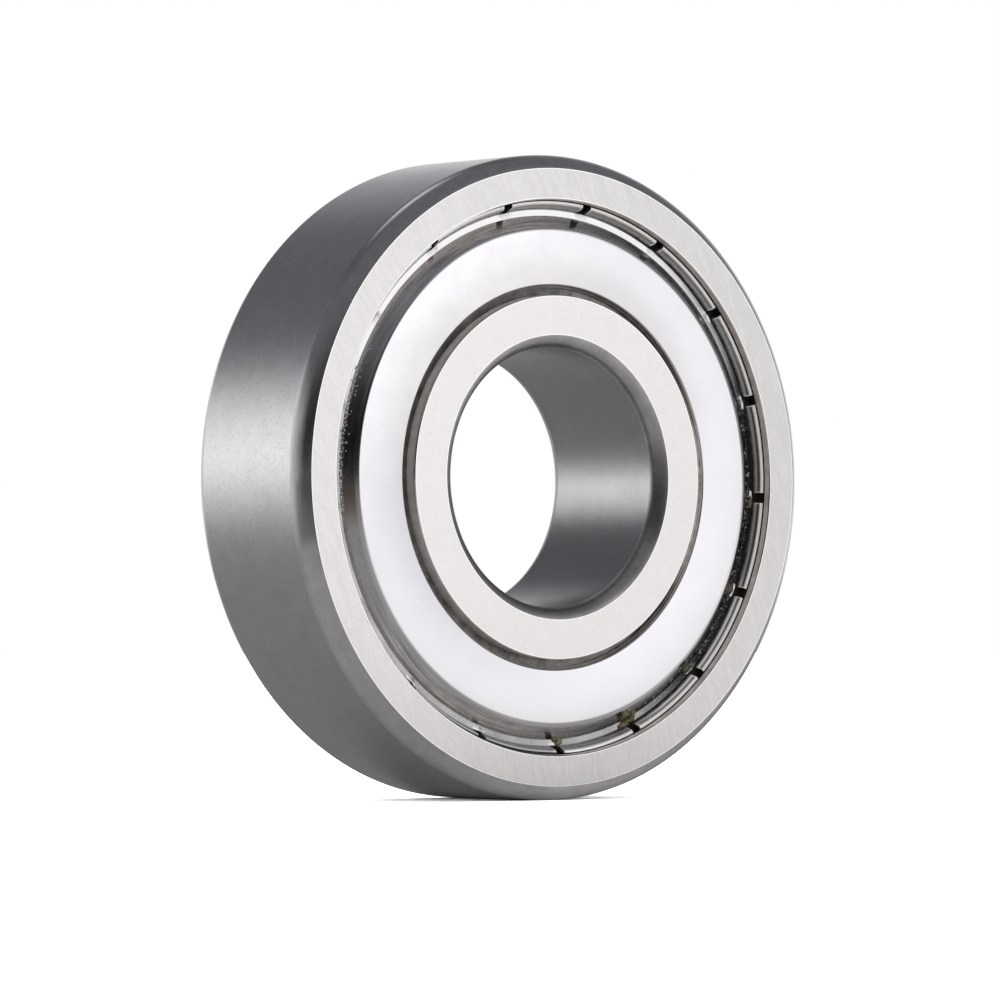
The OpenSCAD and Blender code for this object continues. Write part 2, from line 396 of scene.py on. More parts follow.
def shield(name, facing, materials):
    """One shield. facing is +1 for the front one and -1 for the rear one."""
    pairs, cut = slot_cut(sheet_sections())
    around = shield_angles(degrees(asin(SLOT_W / 2 / TAB_TOP_R)))
    rows, total = len(pairs), len(around)
    verts = []
    for angle, nearest, _ in around:
        for i, pair in enumerate(pairs):
            for r, z in pair:
                verts.append(placed(r, radians(angle), (z + burr(nearest, r, i, cut)) * facing))

    def at(s, i, side):
        return ((s % total) * rows + i) * 2 + side

    faces, finishes = [], []

    def put(corners, finish):
        faces.append(corners[::facing])
        finishes.append(finish)

    for s in range(total):
        slotted, slotted_before = around[s][2], around[s - 1][2]
        last = cut if slotted else rows - 1
        for i in range(last):
            finish = "tab" if i >= cut else "sheet"
            put((at(s, i, 0), at(s + 1, i, 0), at(s + 1, i + 1, 0), at(s, i + 1, 0)), finish)
            put((at(s, i, 1), at(s, i + 1, 1), at(s + 1, i + 1, 1), at(s + 1, i, 1)), "sheet")
        put((at(s, 0, 0), at(s, 0, 1), at(s + 1, 0, 1), at(s + 1, 0, 0)), "cut")
        put((at(s, last, 0), at(s + 1, last, 0), at(s + 1, last, 1), at(s, last, 1)), "slot")
        if slotted == slotted_before:
            continue
        for i in range(cut, rows - 1):
            wall = (at(s, i, 0), at(s, i, 1), at(s, i + 1, 1), at(s, i + 1, 0))
            put(wall if slotted_before else wall[::-1], "slot")
    made = new_object(name, verts, faces, finishes, materials)
    drop_loose(made.data)
    made.data.set_sharp_from_angle(angle=radians(35))
    return made


def drop_loose(mesh):
    """Removes the points that no face uses."""
    work = bmesh.new()
    work.from_mesh(mesh)
    bmesh.ops.delete(work, geom=[v for v in work.verts if not v.link_faces], context="VERTS")
    work.to_mesh(mesh)
    work.free()


# ---- Grease ----

# How far below the shield's flat its channel begins
BRINK_DROP = 0.05
# Waves of a heap's surface, as how often each repeats, and the finer one's share of the height
WAVE = 1.7
FINE_WAVE = 4.1
FINE_SHARE = 0.5
# Droplets: width, stretch along the channel, height for the width, and how lumpy
DROP_W = (0.025, 0.085)
DROP_STRETCH = (0.8, 2.2)
DROP_RISE = 0.45
DROP_LUMPS = 0.3
DROP_SEED = 7
HEAP_LUMPS = 0.24


def sheet_spot(share):
    """A point and the normal of the shield's front side, at a share of the way across its channel."""
    brink = HALF_W - FLAT_SINK - BRINK_DROP
    points = [Vector(front) for front, _ in sheet_sections()]
    points = [p for p in points if FLAT_R < p.x < SLOT_INNER_R and p.y < brink]
    lengths = [(b - a).length for a, b in zip(points, points[1:])]
    left = share * sum(lengths)
    for a, b, length in zip(points, points[1:], lengths):
        if left <= length:
            way = (b - a).normalized()
            return a + way * left, way.orthogonal()
        left -= length
    return points[-1], Vector((0, 1))


def heap(work, spot, normal, angle, size, lumps, seed, detail):
    """Adds one rounded lump of grease to a bmesh. size is along the channel, across it and high, and
    lumps is how far its surface swells."""
    centre = Vector(placed(spot.x, angle, spot.y))
    up = Vector(placed(normal.x, angle, normal.y)).normalized()
    along = Vector((-sin(angle), 0, cos(angle)))
    across = up.cross(along)
    made = bmesh.ops.create_icosphere(work, subdivisions=detail, radius=1)
    for vert in made["verts"]:
        at = vert.co
        swell = 1 + lumps * solid_noise.noise(at * WAVE + Vector((seed, 0, 0)))
        swell += FINE_SHARE * lumps * solid_noise.noise(at * FINE_WAVE + Vector((0, seed, 0)))
        reach = along * at.x * size[0] + across * at.y * size[1] + up * at.z * size[2]
        vert.co = (centre + reach * swell) * MM


def grease_object(name, work, material):
    """An object from a bmesh of grease, which it frees."""
    mesh = bpy.data.meshes.new(name)
    work.to_mesh(mesh)
    work.free()
    mesh.materials.append(material)
    mesh.shade_smooth()
    return in_scene(name, mesh)


def grease_rim(facing):
    """Outline of the grease that has worked out to the inner ring's step, under a shield's edge."""
    z = (HALF_W - LAND_L + GREASE_LIFT) * facing
    half = GREASE_H / 2
    inner = INNER_SHOULDER_R - GREASE_ROOT
    outer = INNER_SHOULDER_R + GREASE_REACH
    return [
        arc((outer, z - half), (outer, z + half), half + ROUND_SLACK, "grease", GREASE_STEPS),
        *lines((outer, z + half), ("grease", (inner, z + half)), ("grease", (inner, z - half)),
               ("grease", (outer, z - half))),
    ]


def grease_lumps(name, lumps, material):
    """Grease that has been squeezed out at the slots. Each lump is (angle, share across the
    channel, size along, across and high, seed)."""
    work = bmesh.new()
    for angle, share, size, seed in lumps:
        spot, normal = sheet_spot(share)
        heap(work, spot, normal, radians(angle), size, HEAP_LUMPS, seed, detail=5)
    return grease_object(name, work, material)


def grease_drops(name, zones, material):
    """Fine droplets of oil in the channel. Each zone is (first angle, last angle, shares, count)."""
    draw = random.Random(DROP_SEED)
    work = bmesh.new()
    for first, last, (low, high), count in zones:
        for _ in range(count):
            spot, normal = sheet_spot(draw.uniform(low, high))
            wide = draw.uniform(*DROP_W)
            size = (wide * draw.uniform(*DROP_STRETCH), wide, wide * DROP_RISE)
            angle = radians(draw.uniform(first, last))
            heap(work, spot, normal, angle, size, DROP_LUMPS, draw.uniform(0, 50), detail=2)
    return grease_object(name, work, material)


# ---- Node helpers ----

def is_socket(value):
    """Whether a value comes from another node."""
    return isinstance(value, bpy.types.NodeSocket)


def add_node(kind, inputs, **settings):
    """A node with its settings, its input values and its incoming links, in the tree of the sockets
    among its inputs."""
    tree = next(value.id_data for value in inputs.values() if is_socket(value))
    made = tree.nodes.new(kind)
    for key, value in settings.items():
        setattr(made, key, value)
    for socket, value in inputs.items():
        if is_socket(value):
            tree.links.new(value, made.inputs[socket])
        else:
            made.inputs[socket].default_value = value
    return made


def calc(operation, *values):
    """The result of a Math node."""
    return add_node("ShaderNodeMath", dict(enumerate(values)), operation=operation).outputs[0]


def add(*values):
    """The sum of several values."""
    return reduce(partial(calc, "ADD"), values)


def minus(a, b):
    """The first value less the second."""
    return calc("SUBTRACT", a, b)


def times(*values):
    """The product of several values."""
    return reduce(partial(calc, "MULTIPLY"), values)


def vector_calc(operation, *values, out=0):
    """The result of a Vector Math node."""
    return add_node("ShaderNodeVectorMath", dict(enumerate(values)), operation=operation).outputs[out]


def dot(a, b):
    """The dot product of two vectors."""
    return vector_calc("DOT_PRODUCT", a, b, out=1)


def scaled(vector, factor):
    """A vector or colour times a number."""
    made = add_node("ShaderNodeVectorMath", {0: vector, "Scale": factor}, operation="SCALE")
    return made.outputs[0]


def ramp(value, low, high, to_low=0, to_high=1, kind="LINEAR"):
    """value, spread from low..high to to_low..to_high and held there beyond them."""
    inputs = {0: value, 1: low, 2: high, 3: to_low, 4: to_high}
    return add_node("ShaderNodeMapRange", inputs, interpolation_type=kind, clamp=True).outputs[0]


def soft(*values):
    """A ramp that starts and ends gently."""
    return ramp(*values, kind="SMOOTHSTEP")


def between(share, at_0, at_1):
    """at_0 where the share is 0 and at_1 where it is 1."""
    return ramp(share, 0, 1, at_0, at_1)


def weighed(texture, weight):
    """The middle range of a noise, spread from 0 to weight."""
    return ramp(texture, 0.3, 0.7, 0, weight)


def window(value, rise, fall):
    """1 between two soft edges, each the value where it is 0 and the value where it is 1."""
    return times(soft(value, *rise), soft(value, *fall))


def opaque(colour):
    """A colour with an alpha of 1, or a socket as it is."""
    return colour if is_socket(colour) else (*colour, 1)


def mix_colour(share, a, b):
    """Two colours mixed by share."""
    inputs = {0: share, 6: opaque(a), 7: opaque(b)}
    return add_node("ShaderNodeMix", inputs, data_type="RGBA").outputs[2]


def combine(x, y, z=0):
    """A vector of three values."""
    return add_node("ShaderNodeCombineXYZ", {0: x, 1: y, 2: z}).outputs[0]


def noise(where, scale=1, detail=2, rough=0.5):
    """Noise of about 0.5. A larger scale makes it finer."""
    inputs = {"Vector": where, "Scale": scale, "Detail": detail, "Roughness": rough}
    return add_node("ShaderNodeTexNoise", inputs).outputs[0]


def lined(at, factors, **texture):
    """Noise that runs in lines. factors is how fast it changes with up to three measures of at."""
    return noise(combine(*[times(getattr(at, key), factor) for key, factor in factors.items()]), **texture)


def spots(where, inner, outer):
    """Scattered round spots: 1 within the inner radius and 0 past the outer one."""
    inputs = {"Vector": where, "Scale": 1}
    away = add_node("ShaderNodeTexVoronoi", inputs, feature="F1").outputs[0]
    return ramp(away, inner, outer, 1, 0)


def place_mm(tree):
    """Where a point of the surface lies on its own piece, in millimetres: its vector, x, y, z, the
    distance r from the axis, the angle round it and the depth below the nearer face."""
    at = scaled(tree.nodes.new("ShaderNodeTexCoord").outputs["Object"], 1 / MM)
    x, y, z = add_node("ShaderNodeSeparateXYZ", {0: at}).outputs
    r = calc("SQRT", add(times(x, x), times(z, z)))
    depth = minus(HALF_W, calc("ABSOLUTE", y))
    return SimpleNamespace(all=at, x=x, y=y, z=z, r=r, angle=calc("ARCTAN2", z, x), depth=depth)


def within(at, sectors):
    """1 in the sectors and 0 outside them, with soft edges. A sector is the angles where it fades in
    and those where it fades out, in degrees round the axis, the angle where it is 0 always first."""
    return add(*[window(times(at.angle, 180 / pi), *edges) for edges in sectors])


def slot_away(at):
    """Distance from the middle of the nearest slot, measured round the shield, in millimetres."""
    pitch = 2 * pi / SLOT_COUNT
    turns = times(minus(at.angle, radians(SLOT_PHASE)), 1 / pitch)
    offset = minus(turns, calc("ROUND", turns))
    return times(calc("ABSOLUTE", offset), pitch, at.r)


def surface(name, metallic=1):
    """A new material. Returns it with its Principled shader and the places on it."""
    material = bpy.data.materials.new(name)
    material.use_nodes = True
    tree = material.node_tree
    shader = tree.nodes["Principled BSDF"]
    shader.inputs["Metallic"].default_value = metallic
    return material, shader, place_mm(tree)


def feed(shader, **values):
    """Links values to a Principled shader: colour, metallic, roughness and normal."""
    for key, value in values.items():
        socket = "Base Color" if key == "colour" else key.capitalize()
        shader.id_data.links.new(value, shader.inputs[socket])


def bump(height, depth):
    """A normal from a height in 0..1. depth is in millimetres."""
    return add_node("ShaderNodeBump", {"Height": height, "Distance": depth * MM}).outputs[0]


# ---- Sectors round the axis, as within() takes them ----

# The angle turns over at the left, so what passes there is two sectors, and each runs on past it
PAST_LEFT = (200, 190)


def through_left(rise, fall):
    """The two sectors of a stretch that passes the left."""
    return ((rise, PAST_LEFT), (tuple(-angle for angle in PAST_LEFT), fall))


# Rings
SPECKED_LEFT = through_left((158, 168), (-165, -174))
# Painted highlight, painted shade, painted shade and painted light on the outer ring's corners
HIGHLIGHT_LEFT = through_left((158, 172), (-166, -178))
SHADED_LEFT = (((-180, -177), (-165.5, -169.5)),)
DARKENED_UPPER_LEFT = (((88, 104), (152, 136)),)
LIGHTENED_BOTTOM = (((-122, -100), (-56, -76)),)
UPPER_LEFT = through_left((80, 108), (-160, -176))
LOWER_LEFT = (((-150, -138), (-84, -92)),)
RIGHT = (((-64, -40), (64, 40)),)
NEAR_RIGHT = (((-40, -24), (36, 20)),)
MID_RIGHT = (((-26, -18), (18, 8)),)
UPPER_RIGHT = (((11, 22), (88, 76)),)
LOWER_RIGHT = (((-75, -62), (-22, -32)),)

# Shield
# Painted light on the shield's flat at the top
PAINTED_LIGHT_TOP = (((60, 110), (190, 150)),)
# Painted light on the slant at the top and the bottom
STREAKED_AND_LIT = (((78, 96), (152, 134)), ((-154, -138), (-88, -106)))
# Painted shade with brown painted glints on the slant at the left, also bounding the painted highlight at its
# foot
BROWN_LEFT = through_left((150, 164), (-166, -176))
# Painted light on the channel's floor at the top, and painted black shade on it at the right
LIGHT_FLOOR_TOP = (((34, 66), (172, 150)),)
BLACK_RIGHT = (((-72, -46), (34, 14)),)

# Tabs
# Painted shade at the tabs' foot and along a dark line, and painted highlights on the ridge and the crest
FOOT_SHADE_RIGHT = (((-86, -66), (84, 62)),)
DARK_LINE_RIGHT = (((-34, -20), (30, 16)),)
RIDGE_LOWER_RIGHT = (((-68, -56), (-18, -30)),)
RIDGE_UPPER_RIGHT = (((-30, -18), (62, 40)),)
LIT_RIGHT = (((-84, -70), (26, 12)),)


# ---- Finishes of the rings ----

# Two directions on a face: along its few stray scratches and across them
STRAY_WAY = (-0.56, 0, 0.83)
STRAY_ACROSS = (0.83, 0, 0.56)


def ground_face(name, dark, light, wheel, seed, depth, painted_light):
    """A face ground by a large wheel, whose marks are arcs round the wheel's centre (x, z). The last
    argument is how much painted shade darkens the face towards its right edge. Its left edge is
    painted lighter by half of that."""
    material, shader, at = surface(name)
    sway = scaled(noise(at.all, scale=0.12, detail=1), 2.5)
    away = vector_calc("SUBTRACT", at.all, (wheel[0], 0, wheel[1]))
    across = add(vector_calc("LENGTH", away, out=1), sway)
    along = add(times(at.z, 0.35), times(at.x, 0.1))
    fine = noise(combine(times(across, 6.5), along, seed), detail=4, rough=0.7)
    broad = noise(combine(times(across, 1.9), times(along, 0.7), seed + 7))
    crossing = dot(at.all, STRAY_ACROSS)
    beside = dot(at.all, STRAY_WAY)
    scratch = combine(times(crossing, 6), times(beside, 0.9), seed + 3)
    stray = ramp(noise(scratch, detail=1), 0.66, 0.76)
    blotch = noise(at.all, scale=0.5, detail=4, rough=0.6)
    grain = noise(at.all, scale=4.5, detail=3, rough=0.7)
    marks = add(times(fine, 0.55), times(broad, 0.45))
    # Painted shade towards the right edge and painted light towards the left one
    painted_side_light = ramp(at.x, -OUTER_R, OUTER_R, -0.5 * painted_light, painted_light)
    shade = add(ramp(marks, 0.38, 0.62, 0, 0.55), weighed(blotch, 0.2),
                weighed(grain, 0.25), times(stray, 0.45), times(painted_side_light, -1))
    feed(shader, colour=mix_colour(shade, dark, light),
         roughness=between(marks, 0.2, 0.34),
         normal=bump(minus(marks, times(stray, 0.12)), depth))
    return material


def satin_round(name, dark, light):
    """The outside or the bore, ground to a fine satin: faint marks run round it, with specks that
    are most at the left."""
    material, shader, at = surface(name)
    fine = lined(at, {"y": 7, "angle": 40}, detail=3, rough=0.6)
    cloud = noise(at.all, scale=0.5, detail=3)
    rare = ramp(noise(at.all, scale=0.35), 0.56, 0.66)
    drawn = combine(times(at.y, 1.3), times(at.angle, 90), times(at.r, 3))
    ragged = vector_calc("ADD", drawn, scaled(noise(at.all, scale=3), 0.8))
    often = calc("MAXIMUM", rare, times(within(at, SPECKED_LEFT), 0.9))
    pits = times(spots(ragged, 0.12, 0.34), often)
    shade = minus(add(times(cloud, 0.5), times(fine, 0.5)), times(pits, 0.7))
    feed(shader, colour=mix_colour(ramp(shade, 0.25, 0.75), dark, light),
         roughness=between(fine, 0.22, 0.30),
         normal=bump(minus(fine, times(pits, 2)), 0.0007))
    return material


def stain_and_nicks(at):
    """Cloudy stain, and a few small bright nicks, on turned and tumbled steel."""
    stain = noise(at.all, scale=0.9, detail=4, rough=0.6)
    nicks = ramp(noise(at.all, scale=1.6, detail=3, rough=0.7), 0.70, 0.75)
    return stain, nicks


def turned(name, dark, light, rough, metallic=1, zones=()):
    """Lathe-turned and tumbled steel: faint rings, a little stain and a few bright nicks. Each zone
    paints light and shade: the sectors in which the colour changes, and its gain next to the face and
    1 mm below it."""
    material, shader, at = surface(name, metallic)
    rings = lined(at, {"r": 9, "y": 9, "angle": 3})
    stain, nicks = stain_and_nicks(at)
    colour = mix_colour(add(weighed(stain, 0.8), times(nicks, 0.5)), dark, light)
    for sectors, shallow, deep in zones:
        gain = ramp(at.depth, 0.1, 1.1, shallow - 1, deep - 1)
        colour = scaled(colour, add(times(within(at, sectors), gain), 1))
    feed(shader, colour=colour,
         roughness=between(rings, rough * 0.8, rough * 1.25),
         normal=bump(minus(rings, times(nicks, 1.5)), 0.0006))
    return material


def tumbled_corner(name, dark, light, highlight_colour):
    """The outer ring's corners: tumbled steel with marks that run round it. At the left a pale painted
    highlight lies next to the outside and painted shade next to the face. Painted shade darkens the
    upper left, and painted light brightens the bottom."""
    material, shader, at = surface(name)
    drawn = lined(at, {"depth": 8, "angle": 5}, detail=4, rough=0.65)
    stain, nicks = stain_and_nicks(at)
    plain = mix_colour(add(weighed(stain, 0.4), weighed(drawn, 0.4), times(nicks, 0.5)), dark, light)
    pale_highlight = times(within(at, HIGHLIGHT_LEFT), soft(at.depth, 0.3, 1.2),
                   ramp(drawn, 0.36, 0.6, 0.7, 1))
    painted_dark = times(within(at, DARKENED_UPPER_LEFT), ramp(at.depth, 0.7, 1.1))
    shaded = times(within(at, SHADED_LEFT), ramp(at.depth, 1.2, 0.9))
    lightened = within(at, LIGHTENED_BOTTOM)
    # Painted shade at the upper left and just under the left, and painted light at the bottom
    gain = add(1, times(painted_dark, -0.35), times(lightened, 0.32), times(shaded, -0.38))
    colour = scaled(mix_colour(pale_highlight, plain, highlight_colour), gain)
    feed(shader, colour=colour,
         metallic=between(pale_highlight, 1, 0.05),
         roughness=between(drawn, 0.18, 0.32),
         normal=bump(minus(drawn, times(nicks, 1.5)), 0.0008))
    return material


# ---- Finishes of the shields ----

# Dark and light tone of each stretch of the sheet. The streak and light floor tones hold painted light,
# the brown and black tones painted shade with painted glints, the burr, slant-foot and tab highlight
# tones painted highlights, and the tab shade and gap tones painted shade
STREAK_TONES = ((0.48, 0.47, 0.47), (1, 0.99, 0.99))
BROWN_TONES = ((0.26, 0.26, 0.27), (0.33, 0.26, 0.22))
LIGHT_FLOOR_TONES = ((0.80, 0.79, 0.79), (0.95, 0.94, 0.94))
GREY_FLOOR_TONES = ((0.30, 0.29, 0.29), (0.62, 0.61, 0.61))
BLACK_TONES = ((0.02, 0.02, 0.022), (0.5, 0.49, 0.48))
BURR_HIGHLIGHT_TONE = (0.94, 0.93, 0.92)
FOOT_HIGHLIGHT_TONE = (0.92, 0.91, 0.90)
TAB_SHADE_TONE = (0.028, 0.026, 0.025)
HIGHLIGHT_TONE = (0.97, 0.96, 0.95)
GAP_TONE = (0.012, 0.011, 0.010)
# How much the scuffs and the painted shade off the top leave of the flat's colours, and the specks of the
# slant's
SCUFF_AND_SHADE_TINT = (0.76, 0.76, 0.785)
SPECK_TINT = 0.66
# Depths below the flat between which the slant begins, and those where the channel's floor begins
SLANT_START = (FLAT_SINK + 0.06, FLAT_SINK + 0.3)
FLOOR_START = (FLAT_SINK + 0.86, FLAT_SINK + 1.04)
# The painted highlight on the burr: distances from a slot's middle and from the axis where it fades in
BURR_WIDTHS = (0.80, 0.50)
BURR_RADII = (SLOT_INNER_R - 0.30, SLOT_INNER_R - 0.14)
# The painted highlight at the slant's foot: depths and radii where it fades in
FOOT_HIGHLIGHT_DEPTHS = (1.48, 1.56)
FOOT_HIGHLIGHT_RADII = (SLANT_FOOT_R + 0.22, SLANT_FOOT_R + 0.06)
# On the tabs, by depth: a painted dark line, the ridge that bending leaves with its painted highlight,
# the crest with its painted highlight, and the foot's painted shade
TAB_DARK_LINE = ((0.86, 0.95), (1.28, 1.14))
TAB_RIDGE = ((1.04, 1.14), (1.42, 1.26))
TAB_CREST = (0.90, 0.80)
TAB_FOOT_SHADE = (1.46, 1.85)
# The painted highlight along a slot's edge: distances from the slot's middle, and depths, where it fades in
TAB_EDGE_WIDTHS = (0.64, 0.58)
TAB_EDGE_DEPTHS = (1.5, 1.2)
# Painted shade in the gap under the lip: radii where it starts on a tab's end, in general and at the
# lower left, its soft edge, and the depths where it ends
TAB_GAP_RADII = (26.51, 26.35)
TAB_GAP_EDGE = (-0.02, 0.03)
TAB_GAP_DEPTHS = (1, 0.9)


def flat_colour(at, stain, flat):
    """The shield's flat: scuffed in places, painted lighter at the top and darker with painted shade
    elsewhere.
    """
    scuffs = ramp(noise(at.all, scale=3.4, detail=5, rough=0.8), 0.60, 0.70)
    worn = ramp(noise(at.all, scale=0.16, detail=1), 0.50, 0.66)
    shade = minus(ramp(stain, 0.25, 0.75, 0.5, 1), times(scuffs, worn, 0.7))
    shade = times(shade, between(within(at, PAINTED_LIGHT_TOP), 0.45, 1))
    return mix_colour(shade, tuple(c * t for c, t in zip(flat, SCUFF_AND_SHADE_TINT)), flat)


def channel_colour(at, stain, fine, speck, wall):
    """The channel. Its slant is specked, streaked and painted lighter at the top and the bottom, and painted
    dark with brown painted glints at the left. Its floor is painted lighter at the top, painted black with
    pale painted glints at the right, and grey elsewhere."""
    streaks = ramp(lined(at, {"depth": 7, "angle": 4}, detail=4, rough=0.6), 0.36, 0.60)
    specked = mix_colour(speck, tuple(c * SPECK_TINT for c in wall), wall)
    streaked = mix_colour(streaks, *STREAK_TONES)
    brown = mix_colour(ramp(stain, 0.52, 0.60), *BROWN_TONES)
    slant = mix_colour(within(at, STREAKED_AND_LIT), specked, streaked)
    slant = mix_colour(within(at, BROWN_LEFT), slant, brown)
    lightened = mix_colour(speck, *LIGHT_FLOOR_TONES)
    grey_floor = mix_colour(speck, *GREY_FLOOR_TONES)
    black = mix_colour(ramp(fine, 0.55, 0.72), *BLACK_TONES)
    floor = mix_colour(within(at, LIGHT_FLOOR_TOP), grey_floor, lightened)
    floor = mix_colour(within(at, BLACK_RIGHT), floor, black)
    return mix_colour(soft(at.depth, *FLOOR_START), slant, floor)


def pressed_sheet(name, flat, wall):
    """Bright rolled sheet with orange peel, a painted highlight on the burrs at the slots' ends and a
    painted highlight along the foot of the slant at the left."""
    material, shader, at = surface(name)
    peel = noise(at.all, scale=2.2, detail=3, rough=0.55)
    stain = noise(at.all, scale=0.3, detail=4, rough=0.6)
    fine = noise(at.all, scale=5, detail=3, rough=0.65)
    drawn = lined(at, {"depth": 4, "angle": 9}, detail=3)
    oily = add(times(drawn, 0.5), times(fine, 0.5))
    channel = channel_colour(at, stain, fine, ramp(oily, 0.35, 0.65), wall)
    inside = soft(at.depth, *SLANT_START)
    colour = mix_colour(inside, flat_colour(at, stain, flat), channel)
    burr_highlight = times(soft(slot_away(at), *BURR_WIDTHS), soft(at.r, *BURR_RADII))
    colour = mix_colour(burr_highlight, colour, BURR_HIGHLIGHT_TONE)
    foot_highlight = times(within(at, BROWN_LEFT), ramp(at.depth, *FOOT_HIGHLIGHT_DEPTHS),
                    ramp(fine, 0.48, 0.58), ramp(at.r, *FOOT_HIGHLIGHT_RADII))
    colour = mix_colour(foot_highlight, colour, FOOT_HIGHLIGHT_TONE)
    # Where the highlights are painted, the sheet is matt rather than metallic
    painted_light = calc("MAXIMUM", foot_highlight, times(burr_highlight, 0.5))
    rough = add(between(stain, 0.13, 0.19), times(inside, weighed(oily, 0.15)))
    feed(shader, colour=colour,
         metallic=between(painted_light, 1, 0),
         roughness=rough,
         normal=bump(add(peel, times(inside, oily, 4)), 0.0007))
    return material


def tab_shade(at, stain):
    """Where painted shade blackens the tabs: at the foot, and along a dark line across them."""
    foot = soft(add(at.depth, times(stain, 0.4)), *TAB_FOOT_SHADE)
    foot = times(foot, between(within(at, FOOT_SHADE_RIGHT), 0.3, 1))
    dark_line = between(within(at, DARK_LINE_RIGHT), 0.4, 0.85)
    return calc("MAXIMUM", foot, times(window(at.depth, *TAB_DARK_LINE), dark_line))


def brushed_tab(name, dark, light):
    """The tabs: fine drawing marks across them, painted black as shade in places and under the ring's lip,
    and with painted highlights at the crest, on the ridge at the right and at the slots' edges, where they
    are also smoother."""
    material, shader, at = surface(name)
    marks = lined(at, {"angle": 120, "depth": 0.8}, detail=3, rough=0.6)
    stain = noise(at.all, scale=1.2, detail=3)
    brushed = mix_colour(add(weighed(marks, 0.7), weighed(stain, 0.3)), dark, light)
    painted_dark = mix_colour(tab_shade(at, stain), brushed, TAB_SHADE_TONE)
    ridge_share = add(within(at, RIDGE_LOWER_RIGHT), times(within(at, RIDGE_UPPER_RIGHT), 0.25))
    ridge = times(window(at.depth, *TAB_RIDGE), ridge_share)
    edge = times(ramp(slot_away(at), *TAB_EDGE_WIDTHS), ramp(at.depth, *TAB_EDGE_DEPTHS))
    crest = soft(at.depth, *TAB_CREST)
    polish_and_highlight = calc("MAXIMUM", crest, calc("MAXIMUM", ridge, edge))
    shining = mix_colour(polish_and_highlight, painted_dark, HIGHLIGHT_TONE)
    past_gap = minus(at.r, between(within(at, LOWER_LEFT), *TAB_GAP_RADII))
    hidden = times(soft(past_gap, *TAB_GAP_EDGE), ramp(at.depth, *TAB_GAP_DEPTHS))
    feed(shader, colour=mix_colour(hidden, shining, GAP_TONE))
    # The ridge and the lit crest are matt, so that their painted highlights stay white
    lit = calc("MAXIMUM", ridge, times(crest, within(at, LIT_RIGHT)))
    feed(shader, metallic=between(lit, 0.5, 0.05),
         roughness=between(polish_and_highlight, 0.34, 0.16),
         normal=bump(marks, 0.0016))
    return material


# ---- Finishes of the hidden parts and of the grease ----

def plain_steel(name, dark, light, rough, depth=0.0004):
    """Balls, cage and rivets: smooth steel with a thin film of grease in patches."""
    material, shader, at = surface(name)
    film = noise(at.all, scale=0.6, detail=3)
    grain = noise(at.all, scale=6)
    feed(shader, colour=mix_colour(ramp(film, 0.3, 0.7), dark, light),
         roughness=between(film, rough * 0.8, rough * 1.4),
         normal=bump(grain, depth))
    return material


def grease(name, dark, light, clear, rough, tint=None):
    """Translucent grease or oil with a wet gloss. tint is the colour of a few stained patches."""
    material, shader, at = surface(name, metallic=0)
    cloud = noise(at.all, scale=1.4, detail=4, rough=0.6)
    patch = ramp(noise(at.all, scale=1.1), 0.60, 0.68)
    body = mix_colour(ramp(cloud, 0.40, 0.60), dark, light)
    feed(shader, colour=mix_colour(patch, body, tint or light))
    shader.inputs["Transmission Weight"].default_value = clear
    shader.inputs["IOR"].default_value = 1.47
    feed(shader, roughness=between(cloud, rough * 0.5, rough * 1.5),
         normal=bump(cloud, 0.03))
    return material


# Each finish: its name, dark and light colour, then how rough it is or what else it needs
STEEL = {
    "rim": satin_round("rim_ground", (0.505, 0.502, 0.516), (0.615, 0.612, 0.628)),
    "bore": satin_round("bore_ground", (0.38, 0.378, 0.386), (0.47, 0.468, 0.476)),
    # The last colour is that of the pale painted highlight at the left
    "corner": tumbled_corner("corner_tumbled", (0.55, 0.545, 0.555), (0.78, 0.775, 0.785),
                             highlight_colour=(0.66, 0.67, 0.70)),
    # Painted light at the upper and lower right of the bore's corner, and painted shade between them
    "bore_corner": turned("bore_corner_turned", (0.42, 0.41, 0.41), (0.56, 0.55, 0.55), 0.38,
                          zones=((UPPER_RIGHT, 1.1, 1.35), (LOWER_RIGHT, 1.5, 1.3), (MID_RIGHT, 0.85, 0.78))),
    "edge": turned("edge_rubbed", (0.93, 0.92, 0.90), (0.99, 0.98, 0.96), 0.12),
    # Painted shade darkens the mouth at the lower left
    "mouth": turned("mouth_rubbed", (0.90, 0.89, 0.87), (0.98, 0.97, 0.95), 0.16,
                    zones=((LOWER_LEFT, 0.12, 0.12),)),
    "recess": turned("recess_turned", (0.50, 0.45, 0.42), (0.84, 0.775, 0.735), 0.45, metallic=0.25),
    # Near black: painted shade in the groove under the lip
    "groove": turned("groove_oily", (0.04, 0.037, 0.034), (0.11, 0.10, 0.09), 0.4, metallic=0.3),
    # Painted shade on the land at the upper left next to the face, and a little painted light deeper
    "land": turned("land_turned", (0.64, 0.60, 0.57), (0.92, 0.87, 0.83), 0.5, metallic=0.1,
                   zones=((UPPER_LEFT, 0.5, 1.1),)),
    # Dark as painted shade under the shield's edge, darker at the upper left and painted lighter near the
    # right
    "step": turned("step_oily", (0.12, 0.115, 0.11), (0.42, 0.40, 0.375), 0.3, metallic=0.3,
                   zones=((UPPER_LEFT, 0.5, 0.5), (NEAR_RIGHT, 1.7, 1.7))),
    "race": turned("race_lapped", (0.62, 0.62, 0.63), (0.72, 0.72, 0.73), 0.1),
}
OUTER_FACE = ground_face("outer_face_ground", (0.67, 0.655, 0.65), (0.86, 0.84, 0.83),
                         wheel=(-122, -44), seed=1, depth=0.0013, painted_light=0.42)
INNER_FACE = ground_face("inner_face_ground", (0.80, 0.78, 0.77), (0.91, 0.89, 0.88),
                         wheel=(-90, 70), seed=5, depth=0.0008, painted_light=0.25)
